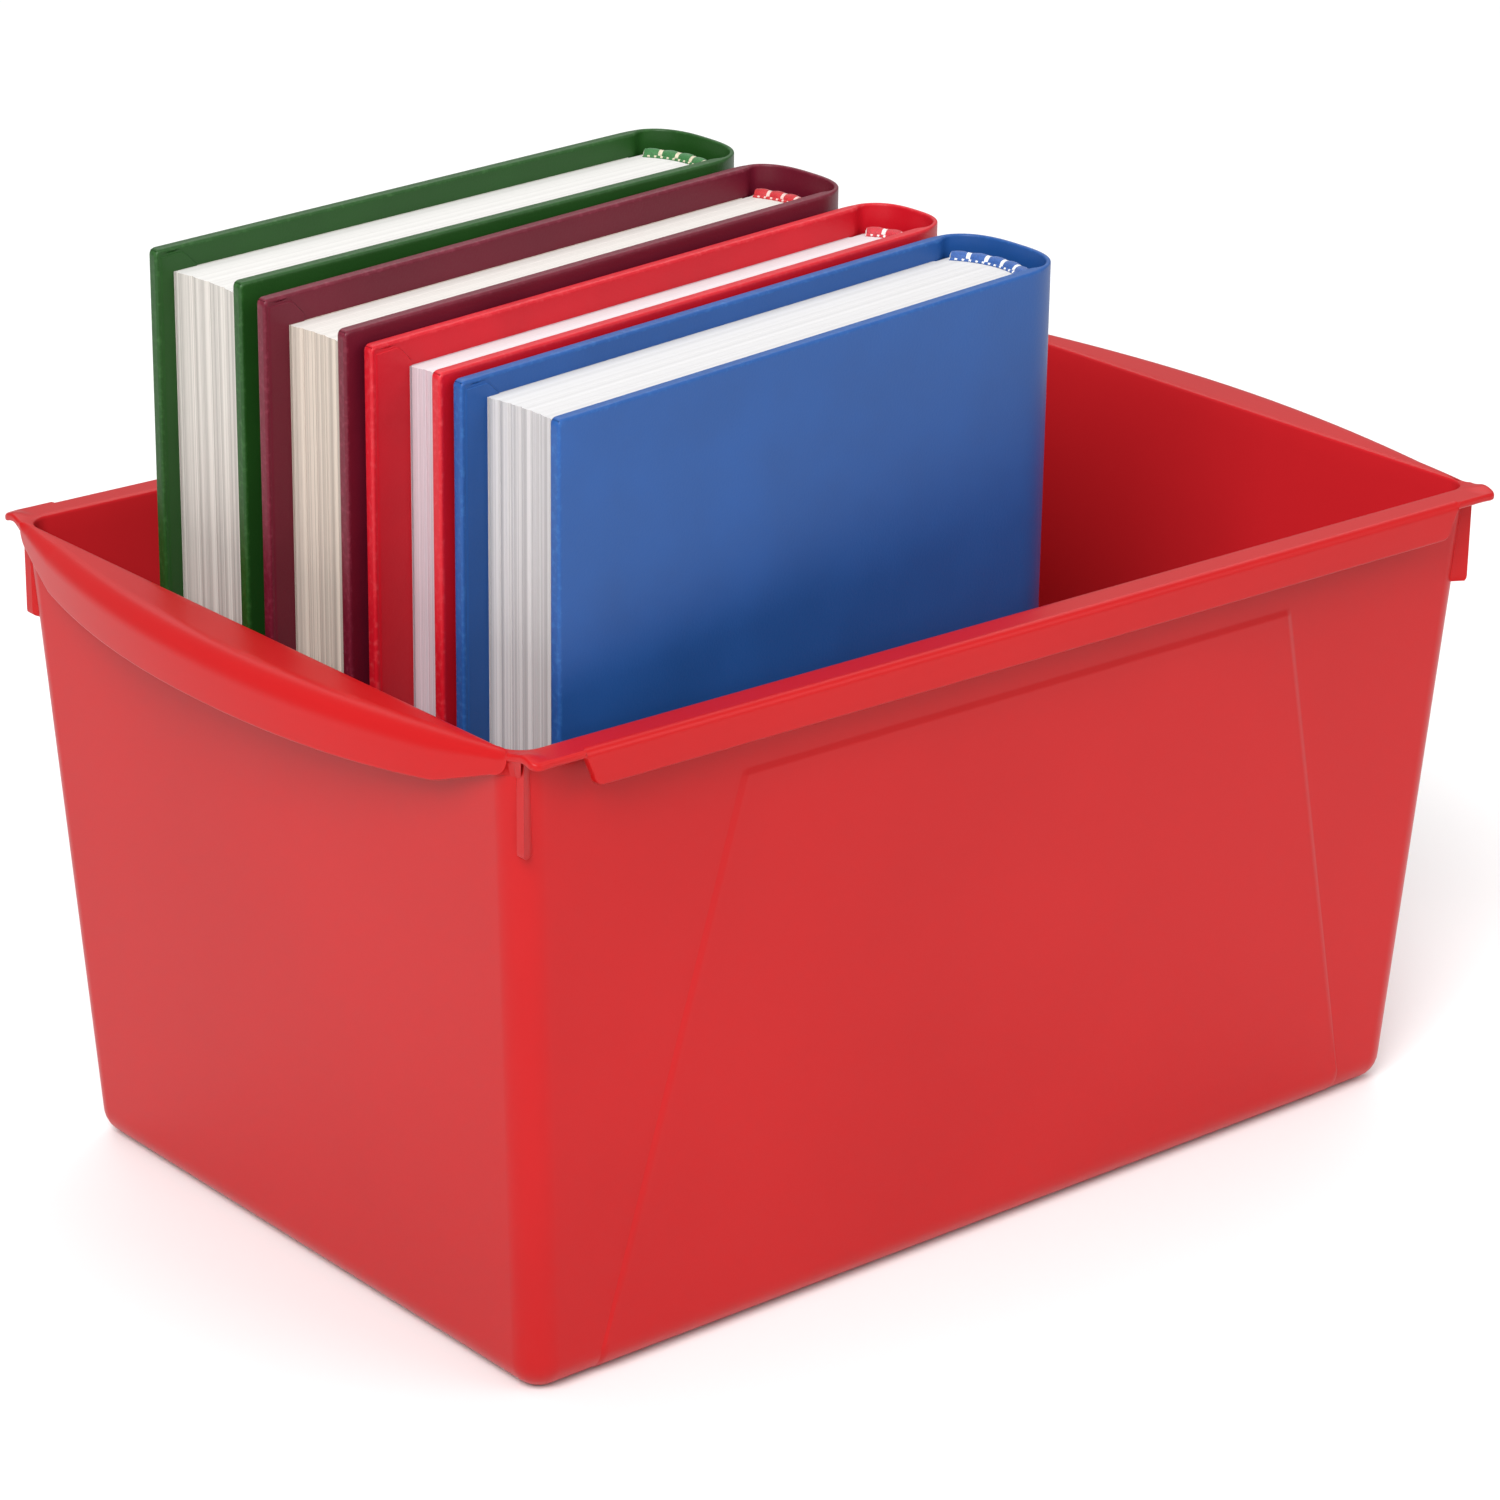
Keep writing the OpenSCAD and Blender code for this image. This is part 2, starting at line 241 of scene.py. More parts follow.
def thread(name, colour):
    """Wound thread of a headband."""
    material, nodes, links, shader = new_material(name)
    coords = nodes.new("ShaderNodeTexCoord").outputs["Object"]
    strands = noise(nodes, links, coords, 3200, 2)
    stops = [(0.35, tinted(colour, 0.7)), (0.65, tinted(colour, 1.15))]
    links.new(ramp(nodes, links, strands, stops), shader.inputs["Base Color"])
    links.new(bump(nodes, links, strands, 0.12, 0.5), shader.inputs["Normal"])
    shader.inputs["Roughness"].default_value = 0.6
    shader.inputs["Sheen Weight"].default_value = 0.2
    return material


def fibreboard(name, colour, weave_scale):
    """Grey binder's board, or the gauze and paper on the back of the pages."""
    material, nodes, links, shader = new_material(name)
    coords = nodes.new("ShaderNodeTexCoord").outputs["Object"]
    specks = noise(nodes, links, coords, weave_scale, 5, 0.7)
    stops = [(0.35, tinted(colour, 0.8)), (0.65, tinted(colour, 1.1))]
    links.new(ramp(nodes, links, specks, stops), shader.inputs["Base Color"])
    links.new(bump(nodes, links, specks, 0.1, 0.4), shader.inputs["Normal"])
    shader.inputs["Roughness"].default_value = 0.9
    return material


# ---------------------------------------------------------------- bin

BIN_HIGH = box_mm("bin")[1]
BIN_H = BIN_HIGH[2]
HANDLE_REACH = BIN_HIGH[0]           # outermost point of a crescent handle
SIDE_REACH = BIN_HIGH[1]             # outer edge of a long side's flange
BASE_L, BASE_W = 306.8, 199.4        # outside of the shell at the table
MOUTH_L, MOUTH_W = 330.4, 217.2      # outside of the shell carried up to the rim
WALL, FLOOR, RIM = 1.8, 2.0, 2.0     # thicknesses
CORNER_R, BASE_R = 8.5, 8.4          # upright corners, and the edge round the floor
RIM_BOW = 0.4                        # how much a long rim bows outwards
FLANGE_END = 165.0                   # where a handle's crescent meets the flange
CORNER_REACH, FLANGE_R = 164.8, 2.4  # end edge of the flange at a corner, and that corner
CRESCENT_BLEND = 0.5                 # how softly the crescent runs into the flange
CORNER_SEARCH, CORNER_HALVINGS = 30.0, 40   # farthest edge from a corner's centre
LUG_X, LUG_LOW, LUG_R = 162.6, 151.0, 1.2   # a lug's face, foot and the radius under it
LUG_FROM, LUG_TO, LUG_PROUD = 44, 66, 1.0   # its place round the corner, in degrees; its edge
WEB_TO = 52.7                        # where the web behind the end of a lip stops, in degrees
LIP_DROP, SKIRT_DROP = 15.0, 10.0
LIP_EVEN, LIP_RISE = 84.0, 2.6       # half of a lip's even stretch, and how it shallows there
SCROLL_Y, SCROLL_DROP, LIP_END = 100.9, 6.8, 106.0   # where a lip curls up to the flange
SKIRT_HALF, SKIRT_END, SKIRT_R = 144.0, 149.4, 3.0   # flat edge, end at the flange, corner
PANEL_TOP_HALF, PANEL_FOOT_HALF, PANEL_TOP, PANEL_PROUD = 94.0, 132.0, 156.5, 0.5
SWELL_Y, SWELL_WIDTH, SWELL_RISE = 111.5, 3.0, 0.9   # the low swell across a flange's corner
SWELL_FROM, SWELL_FULL = 158.5, 163.5                # where along the bin it rises
TIP_DROOP, TIP_FROM, TIP_FULL = 0.3, 274.5, 279      # drop of the corner's tip, by x + y
SKIRT_BEND, PLAIN_BEND, LIP_BEND = 2.2, 0.8, 5.4     # radius over a skirt and a bare edge, and
                                                      # what a full lip adds to the second
LIP_TOE, HOOK_MIN = 0.7, 0.35        # rounding under a lip or skirt, and least radius inside
WEB_END_SHARE = 0.985                # how far along an end its lip starts to be filled
WEB_STEPS = 12
FLANGE_EDGE = 0.06                   # least a flange's edge turns down below its underside
UNDER_FILLET, UNDER_SHARE, UNDER_DOWN = 0.8, 0.25, 0.25   # where its underside meets the wall
SLIVER, SLIVER_MORE, EDGE_GAP = 0.04, 0.045, 0.1   # small steps that keep points apart


def half_l(z):
    return (BASE_L + (MOUTH_L - BASE_L) * z / BIN_H) / 2


def half_w(z):
    return (BASE_W + (MOUTH_W - BASE_W) * z / BIN_H) / 2


def wall_point(column, z, inset):
    """Plan position on the shell at height z, inset from its outside, for one column."""
    kind, value = column
    z = max(z, BASE_R)
    l, w, r = half_l(z) - inset, half_w(z) - inset, CORNER_R - inset
    if kind == "side":
        top = half_l(BIN_H) - CORNER_R
        edge = PANEL_TOP_HALF + (PANEL_FOOT_HALF - PANEL_TOP_HALF) * \
            max(0.0, PANEL_TOP - z) / (PANEL_TOP - BASE_R)
        if value <= PANEL_TOP_HALF:
            return value * edge / PANEL_TOP_HALF, w
        share = (value - PANEL_TOP_HALF) / (top - PANEL_TOP_HALF)
        return edge + share * (l - r - edge), w
    if kind == "corner":
        a = math.radians(value)
        return l - r + r * math.cos(a), w - r + r * math.sin(a)
    return l, value * (w - r)


def skirt_drop(x):
    """Depth of a long side's skirt at x: even, then round its lower corner and steeply up."""
    if x <= SKIRT_HALF:
        return SKIRT_DROP
    corner = SKIRT_DROP - SKIRT_R
    if x <= SKIRT_HALF + SKIRT_R:
        return corner + math.sqrt(SKIRT_R ** 2 - (x - SKIRT_HALF) ** 2)
    share = (x - SKIRT_HALF - SKIRT_R) / (SKIRT_END - SKIRT_HALF - SKIRT_R)
    return RIM + (corner - RIM) * max(0.0, 1 - share)


def lip_drop(y):
    """Depth of a handle's lip at y: even, then shallower, then up in a quarter-round."""
    if y <= LIP_EVEN:
        return LIP_DROP - LIP_RISE * (y / LIP_EVEN) ** 3
    even = LIP_DROP - LIP_RISE
    if y <= SCROLL_Y:
        return even + (SCROLL_DROP - even) * (y - LIP_EVEN) / (SCROLL_Y - LIP_EVEN)
    share = min(1.0, (y - SCROLL_Y) / (LIP_END - SCROLL_Y))
    return RIM + (SCROLL_DROP - RIM) * math.sqrt(1 - share ** 2)


def end_edge(y):
    """x of the rim's outer edge at an end: the crescent handle, run softly into the flange."""
    rise = HANDLE_REACH - FLANGE_END
    bow = (LIP_END ** 2 + rise ** 2) / (2 * rise)
    over = (HANDLE_REACH - y * y / (2 * bow) - CORNER_REACH) / CRESCENT_BLEND
    return min(HANDLE_REACH, CORNER_REACH + CRESCENT_BLEND * math.log(math.exp(over) + 1))


def corner_edge(angle):
    """Where a ray from an upright corner's centre crosses the rim's outer edge."""
    cx, cy = half_l(BIN_H) - CORNER_R, half_w(BIN_H) - CORNER_R
    side_y = SIDE_REACH - RIM_BOW
    near, far = 0.0, CORNER_SEARCH
    for _ in range(CORNER_HALVINGS):
        reach = (near + far) / 2
        x, y = cx + reach * math.cos(angle), cy + reach * math.sin(angle)
        dx, dy = x - CORNER_REACH + FLANGE_R, y - side_y + FLANGE_R
        cut_off = dx > 0 and dy > 0 and math.hypot(dx, dy) > FLANGE_R
        if y > side_y or x > end_edge(y) or cut_off:
            far = reach
        else:
            near = reach
    return x, y


def rim_edge(column):
    """Outer edge of the rim in plan, how far it turns down, and the radius of its bend."""
    kind, value = column
    if kind == "side":
        y = SIDE_REACH - RIM_BOW * (value / (half_l(BIN_H) - CORNER_R)) ** 2
        drop = skirt_drop(value)
        return value, y, drop, SKIRT_BEND if drop > RIM else PLAIN_BEND
    if kind == "corner":
        x, y = corner_edge(math.radians(value))
    else:
        y = value * (half_w(BIN_H) - CORNER_R)
        x = end_edge(y)
    drop = lip_drop(y)
    return x, y, drop, PLAIN_BEND + LIP_BEND * (drop - RIM) / (LIP_DROP - RIM)


def wave(x, y):
    """Height of the flange's corner over the rim: a low swell across it, and a drooped tip."""
    across = math.exp(-((y - SWELL_Y) / SWELL_WIDTH) ** 2)
    swell = SWELL_RISE * across * smooth_step(x, SWELL_FROM, SWELL_FULL)
    return swell - TIP_DROOP * smooth_step(x + y, TIP_FROM, TIP_FULL)


def arc_steps(n):
    """Angles of a quarter-turn in n steps."""
    return [math.pi / 2 * i / n for i in range(n + 1)]


# Heights of the points on a wall, closer together where its shape turns.
INNER_HEIGHTS = (14, 25, 50, 80, 110, 140, 160, 172, BIN_H - 1.0)
OUTER_ROWS = [173.5, 170, 165, 160, 157.8, 157.0, 156.0, 155.2, 154.2, 153.2, 152.3, 151.6,
              151.05, 150.9, 150.2, 149, 147, 140, 120, 95, 70, 45, 25, 14, 9.2]


def lug_out(z):
    """How far out a lug's face stands at height z: straight, and rounded at its foot."""
    if z < LUG_LOW + LUG_R:
        return LUG_X - LUG_R + math.sqrt(LUG_R ** 2 - (LUG_LOW + LUG_R - z) ** 2)
    return LUG_X


def outer_point(column, z):
    """Plan position on the outside of the bin at height z: wall, corner lug or raised panel."""
    kind, value = column
    x, y = wall_point(column, z, 0)
    if kind == "corner" and LUG_FROM < value < LUG_TO and z > LUG_LOW:
        x = max(x, lug_out(z))
        y = wall_point(column, BIN_H, 0)[1] + LUG_PROUD * (value - LUG_FROM) / (LUG_TO - LUG_FROM)
    if kind == "side" and value < PANEL_TOP_HALF and z < PANEL_TOP:
        y += PANEL_PROUD
    return x, y


def hook_rows(width, drop, bend):
    """The inside of a lip or skirt, from its lower edge up to the underside of the flange."""
    low, top = BIN_H - drop, BIN_H - RIM
    hook = max(bend - RIM, HOOK_MIN)
    if drop <= RIM + hook:
        return ([(width - RIM - EDGE_GAP * f, top) for f in (0.5, 1.0)]
                + [(width - RIM - EDGE_GAP - hook * math.sin(a), top) for a in arc_steps(4)[1:]])
    rows = [(width - RIM, max(low + SLIVER + f * (top - hook - low - SLIVER), low + SLIVER_MORE))
            for f in (0.5, 1.0)]
    return rows + [(width - RIM - hook * (1 - math.cos(a)), top - hook + hook * math.sin(a))
                   for a in arc_steps(4)[1:]]


def bin_section(column):
    """All points of one upright section: inside floor edge, up, over the rim and down outside."""
    rows = []
    inner_r = BASE_R - WALL
    for a in reversed(arc_steps(INNER_ARC)):
        x, y = wall_point(column, BASE_R, WALL + inner_r * (1 - math.cos(a)))
        rows.append((x, y, FLOOR + inner_r * (1 - math.sin(a))))
    for z in INNER_HEIGHTS:
        rows.append((*wall_point(column, z, WALL), z))

    # Rim: s is measured outwards from the inside of the wall to the outer edge.
    inner = Vector(wall_point(column, BIN_H, WALL))
    out_x, out_y, drop, bend = rim_edge(column)
    away = Vector((out_x, out_y)) - inner
    width = away.length
    away.normalize()
    drop = max(drop, RIM + FLANGE_EDGE)
    section = [(0.3, BIN_H - 0.3), (1.0, BIN_H)]
    for f in (0.2, 0.35, 0.5, 0.65, 0.8, 0.92):
        section.append((1.0 + f * (width - bend - 1.0), BIN_H))
    for a in arc_steps(8):
        section.append((width - bend + bend * math.sin(a), BIN_H - bend + bend * math.cos(a)))
    low = BIN_H - drop
    for f in (0.35, 0.7):
        section.append((width, BIN_H - bend - f * (drop - bend - LIP_TOE)))
    for a in arc_steps(3):
        section.append((width - LIP_TOE + LIP_TOE * math.cos(a),
                        low + LIP_TOE - LIP_TOE * math.sin(a)))

    # A handle's lip meets the wall at the upright corner: there it is filled behind, in a web.
    kind, value = column
    top_under = BIN_H - RIM
    webbed = value < WEB_TO if kind == "corner" else kind == "end" and value > WEB_END_SHARE
    if webbed:
        web_low = min(low, BIN_H - SCROLL_DROP)
        wall_s = (Vector(outer_point(column, web_low)) - inner).length
        start = width - LIP_TOE
        for k in range(1, WEB_STEPS + 1):
            share = k / WEB_STEPS
            section.append((start + (wall_s - start) * share, low + (web_low - low) * share))
    else:
        section += [(width - RIM + HOOK_MIN, low), (width - RIM, low + SLIVER)]
        section += hook_rows(width, drop, bend)
    for s, z in section:
        x, y = inner + away * s
        rows.append((x, y, z + wave(x, y) * smooth_step(s, 0.5, 2.0)))

    # Underside of the flange, in to the wall or to a corner lug, and the outside below it.
    if not webbed:
        x0, y0, z0 = rows[-1]
        wall_x, wall_y = outer_point(column, top_under)
        for f in (0.35, 0.7):
            rows.append((x0 + f * (wall_x - x0), y0 + f * (wall_y - y0), z0 + f * (top_under - z0)))
        reach = Vector((x0 - wall_x, y0 - wall_y))
        near = min(UNDER_FILLET, reach.length * UNDER_SHARE)
        reach.normalize()
        for share, down in ((1, 0), (UNDER_SHARE, UNDER_DOWN)):
            rows.append((wall_x + reach.x * near * share, wall_y + reach.y * near * share,
                         top_under - down))
    for number, z in enumerate((top_under - 0.9, *OUTER_ROWS)):
        if webbed:
            z = min(z, web_low - 0.02 * (number + 1))
        rows.append((*outer_point(column, z), z))
    for a in arc_steps(8):
        x, y = wall_point(column, BASE_R, BASE_R * (1 - math.cos(a)))
        if kind == "side" and value < PANEL_TOP_HALF:
            y += PANEL_PROUD * math.cos(a)
        rows.append((x, y, BASE_R * (1 - math.sin(a))))
    return rows


def bin_columns():
    """Columns of a quarter of the bin, from the middle of a long side to the middle of an end.

    A side column holds its x, a corner column its angle, an end column its share of the width.
    """
    side = [8.5 * i for i in range(11)]
    side += [PANEL_TOP_HALF + step for step in (-1.3, -0.5, 0.5, 1.3)]
    side += [100, 108, 116, 124, 130, 135, 139]
    side += [SKIRT_HALF - 0.7 + 0.35 * i for i in range(19)]
    side += [150.6, 152, 153.5, 155]
    corner = [90, 86, 82, 78, 75, 72, 70, 68, 67, 66.2, 65.8, 64, 62, 60, 58, 56, 53, 52.5, 51, 49,
              47, 45.5, 44.3, 43.7, 42, 40, 38, 36.5, 35.8, 35.2, 34.6, 33.8, 32.8, 31.6, 30.2,
              28.5, 26.5, 24, 21.5, 19, 16, 13, 10, 7, 5, 3, 1.5]
    end = [1 - 0.01 * i for i in range(18)]
    end += [0.80, 0.76, 0.72, 0.67, 0.61, 0.54, 0.46, 0.37, 0.28, 0.19, 0.095, 0.0]
    return ([("side", v) for v in side] + [("corner", v) for v in corner]
            + [("end", v) for v in end])


INNER_ARC = 7                        # steps in the edge round the inside of the floor


def make_bin(outside, inside):
    """One closed shell, mirrored from a quarter; inside is its inner faces' material, painted
    brighter as painted light.
    """
    quarter = [bin_section(c) for c in bin_columns()]
    last = len(quarter) - 1
    ring = [(i, 1, 1) for i in range(last + 1)]
    ring += [(i, 1, -1) for i in range(last - 1, -1, -1)]
    ring += [(i, -1, -1) for i in range(1, last + 1)]
    ring += [(i, -1, 1) for i in range(last - 1, 0, -1)]
    rows = len(quarter[0])
    n = len(ring)
    verts = []
    for row in range(rows):
        for i, sx, sy in ring:
            x, y, z = quarter[i][row]
            verts.append((sx * x, sy * y, z))
    faces, slots = [], []
    inner_rows = INNER_ARC + 1 + len(INNER_HEIGHTS)
    for row in range(rows - 1):
        faces += bridge(row * n, (row + 1) * n, n)
        slots += [1 if row < inner_rows else 0] * n
    faces.append(tuple(range(n - 1, -1, -1)))
    faces.append(tuple(range((rows - 1) * n, rows * n)))
    return mesh_object("bin_shell", verts, outward(verts, faces), [outside, inside],
                       slots + [1, 0], sharp=32)


# ---------------------------------------------------------------- books

CLOTH, BOARD, LEAF = 0.5, 2.6, 0.5
COVER = 2 * CLOTH + BOARD
JOINT_W, SHOULDER = 7.0, 3.5         # board to spine, and how far before that the face turns
SPINE_WALL, SPINE_SQUARE = 1.3, 0.72   # below 1, the spine turns more sharply at its shoulders
SPINE_INSET = 1.0                    # of the spine's arc from each cover's face
SPINE_TURNS = 26
LEAN_HOLD, LEAN_FADE = 2, 8          # past a board's edge: lean kept, then dying out
EDGE_R, COVER_CORNER_R = 0.9, 1.8
COVER_X = (0, 0.08, 0.27, 0.55, 0.9, 1.35, 1.8, 2.6, 3.6, 4.8, 6.2, 7.4, 8.3, 9.2, 12, 40, 90,
           130)                      # stations from a cover's fore edge
SLIT_START, SLIT_END, SLIT_DEPTH = 1.8, 9.2, 0.42   # beside the turned-in cloth at each corner
TURN_IN_T, TURN_IN_SUNK, TURN_IN_TAPER = 0.35, 0.1, 0.2   # height, depth sunk, sloped edge
TURN_IN_CORNER = [(1.2, 2.1), (5, 2.0), (8.4, 1.9), (9.8, 2.4), (13.4, 6.0)]
HOLLOW, STRIP, LINING = 2.0, 1.0, 0.8
SHEET_T, FORE_DISH, GATHER_SWELL = 0.36, 1.6, 0.5    # of the modelled leaves
FORE_MARGIN = 0.6                    # flat leaves at each side of the hollow fore edge
RAGGED, HEAD_RAGGED, HEAD_GAP = 0.05, 0.015, 0.05    # unevenness, and dip between gatherings
CORD_STEPS, CORD_SIDES, CORD_TWIST = 14, 14, 0.5     # a bead's steps and sides; half-turns
CORD_OUT, CORD_UP = 1.0, 0.2         # beyond the pages' back for its span, and above them
BEAD_SHAPE, PALE_FAT, PALE_ABOVE = 0.55, 0.55, 0.3   # fullness; pale thread's, and its foot
BEAD_PITCH, STITCH_PITCH = 5.4, 2.2  # of the headband and of the stitches under it
BEAD_IN, STITCH_IN = 0.7, 2.5        # inside the pages' back
ROUND_SHARE = 0.42                   # most of the cloth case's thickness its edge rounds
OUTER_WEAR_AND_HIGHLIGHT, INNER_WEAR_AND_HIGHLIGHT = 0.5, 0.9    # wear and painted highlight of the case's outer and inner edges
SLIT_ROWS = (0.15, 0.42, 0.75)       # before, in and past a slit, from the edge's rounding


class Book:
    """A book's own measures, read from its CAD nodes.

    x runs from the fore edge to the spine and d from the rear cover to the front one; lean is
    how much y grows with x along a board.
    """

    def __init__(self, colour):
        self.colour = colour
        low, high = box_mm(f"{colour}_case_cloth")
        self.x, self.z, self.h = low[0], low[2], high[2] - low[2]
        back_low, back_high = box_mm(f"{colour}_back_board")
        self.board_l = back_high[0] - self.x
        self.lean = (back_high[1] - back_low[1] - BOARD) / (back_high[0] - back_low[0])
        self.y = back_high[1] + CLOTH - self.lean * self.board_l
        front_low, _ = box_mm(f"{colour}_front_board")
        self.depth = self.y + self.lean * CLOTH + CLOTH - front_low[1]
        self.spine_x = self.board_l + JOINT_W
        self.swell = high[0] - self.x - self.spine_x
        page_low, page_high = box_mm(f"{colour}_page_block")
        self.fore = page_low[0] - self.x
        self.foot, self.head = page_low[2] - self.z, page_high[2] - self.z
        half = self.depth / 2 - SPINE_INSET
        self.spine_r = (half ** 2 + self.swell ** 2) / (2 * self.swell)
        self.back_r = self.spine_r - CLOTH - STRIP - HOLLOW - LINING
        self.centre = (self.x + self.spine_x + self.swell - self.spine_r,
                       self.y + self.lean * self.spine_x - self.depth / 2)

    def plan(self, x, d):
        """Plan position; past the joint the lean dies out, so the spine sits square."""
        bend = self.board_l + LEAN_HOLD
        along = x if x < bend else bend + LEAN_FADE * math.tanh((x - bend) / LEAN_FADE)
        return self.x + x, self.y + self.lean * along - d


def case_stations(book):
    """Pairs of outer and inner points from the rear cover's fore edge to the front one's.

    Each comes with how much the head and foot are trimmed there to round the cover's corners,
    how much wear and painted highlight the cloth gets, and how deep the slit beside the turned-in
    cloth is.
    """
    x1 = book.board_l
    half = []
    for x in COVER_X:
        n = EDGE_R - math.sqrt(EDGE_R ** 2 - (EDGE_R - x) ** 2) if x < EDGE_R else 0
        trim = (COVER_CORNER_R - math.sqrt(COVER_CORNER_R ** 2 - (COVER_CORNER_R - x) ** 2)
                if x < COVER_CORNER_R else 0)
        slit = max(0.0, math.sin(math.pi * (x - SLIT_START) / (SLIT_END - SLIT_START)))
        half.append(((x, n), (x, COVER - n), trim, 1.0 if x < 1 else 0.0,
                     slit if SLIT_START < x < SLIT_END else 0.0))
    # From the shoulder on, a quarter of a squarish ellipse to the middle of the spine.
    start = x1 - SHOULDER
    a, b = x1 + JOINT_W + book.swell - start, book.depth / 2
    for t in arc_steps(SPINE_TURNS):
        along, across = math.sin(t), max(0.0, math.cos(t))
        out = Vector((start + a * along ** SPINE_SQUARE, b - b * across ** SPINE_SQUARE))
        normal = Vector((-along ** (2 - SPINE_SQUARE) / a, across ** (2 - SPINE_SQUARE) / b))
        thin = smooth_step(out.x, x1 + CLOTH, x1 + JOINT_W)
        inward = Vector((0, 1)).lerp(normal.normalized(), thin)
        wall = (COVER - out.y) * (1 - thin) + SPINE_WALL * thin if thin < 1 else SPINE_WALL
        half.append((out, out + inward.normalized() * wall, 0, 0.0, 0.0))
    front = [((o[0], book.depth - o[1]), (i[0], book.depth - i[1]), *rest)
             for o, i, *rest in reversed(half[:-1])]
    return half + front


def case_loop(book, out, inner, trim, worn_and_highlit, slit):
    """Ring of points round the case's thickness at one station, and each one's wear and painted
    highlight.
    """
    p, q = Vector(book.plan(*out)), Vector(book.plan(*inner))
    thick = (q - p).length
    inward = (q - p).normalized()
    r = min(EDGE_R, thick * ROUND_SHARE)
    low, high = book.z + trim, book.z + book.h - trim
    foot = [(r * (1 - math.sin(a)), r * (1 - math.cos(a)), OUTER_WEAR_AND_HIGHLIGHT) for a in arc_steps(4)]
    foot.append((0, r + 0.5, 0.0))
    inside = [(thick - r * (1 - math.sin(a)), r * (1 - math.cos(a)), INNER_WEAR_AND_HIGHLIGHT)
              for a in arc_steps(4)]
    before, within, past = SLIT_ROWS
    inside += [(thick, r + before, 0.0), (thick - SLIT_DEPTH * slit, r + within, 0.0),
               (thick, r + past, 0.0)]
    ring = [(n, low + up, w) for n, up, w in foot]
    ring += [(n, high - up, w) for n, up, w in reversed(foot)]
    ring += [(n, high - up, w) for n, up, w in inside]
    ring += [(n, low + up, w) for n, up, w in reversed(inside)]
    return [(*(p + inward * n), z) for n, z, _ in ring], [max(w, worn_and_highlit) for _, _, w in ring]


def turn_in(book, front):
    """The cloth turned in along a cover's fore edge, laid over the head and foot turn-ins."""
    h = book.h
    outline = TURN_IN_CORNER + [(x, h - z) for x, z in reversed(TURN_IN_CORNER)]
    verts = []
    for lift, inset in ((-TURN_IN_SUNK, 0.0), (TURN_IN_T, TURN_IN_TAPER)):
        for x, z in outline:
            x += 4 * inset if x < 2 else -inset
            z += inset if z < h / 2 else -inset
            d = COVER + lift
            verts.append((*book.plan(x, book.depth - d if front else d), book.z + z))
    n = len(outline)
    faces = bridge(0, n, n) + [tuple(range(n - 1, -1, -1)), tuple(range(n, 2 * n))]
    return verts, outward(verts, faces)


def board_hollow(book, board):
    """The space inside the cloth that a board fills."""
    low, high = box_mm(f"{book.colour}_{board}")
    verts = []
    for x in (low[0], high[0]):
        y = low[1] + book.lean * (x - low[0])
        verts += [(x, yy, z) for yy in (y, y + BOARD) for z in (low[2], high[2])]
    faces = [(0, 1, 3, 2), (4, 6, 7, 5), (0, 4, 5, 1), (2, 3, 7, 6), (0, 2, 6, 4), (1, 5, 7, 3)]
    return verts, [tuple(reversed(face)) for face in outward(verts, faces)]


def make_case(book, material):
    """The cloth case: one thick sheet bent round the book, with a hollow for each board."""
    verts, wear_and_highlight = [], []
    for station in case_stations(book):
        ring, worn_and_highlit = case_loop(book, *station)
        verts += ring
        wear_and_highlight += worn_and_highlit
    n = len(ring)
    last = len(verts) - n
    faces = [face for i in range(0, last, n) for face in bridge(i, i + n, n)]
    faces += [tuple(range(n - 1, -1, -1)), tuple(range(last, last + n))]
    faces = outward(verts, faces)
    extras = [turn_in(book, front) for front in (False, True)]
    extras += [board_hollow(book, board) for board in ("back_board", "front_board")]
    for more, more_faces in extras:
        start = len(verts)
        verts += more
        wear_and_highlight += [0.0] * len(more)
        faces += [tuple(start + i for i in face) for face in more_faces]
    return mesh_object(f"{book.colour}_case", verts, faces, [material], edge_wear_and_highlight=wear_and_highlight, sharp=38)


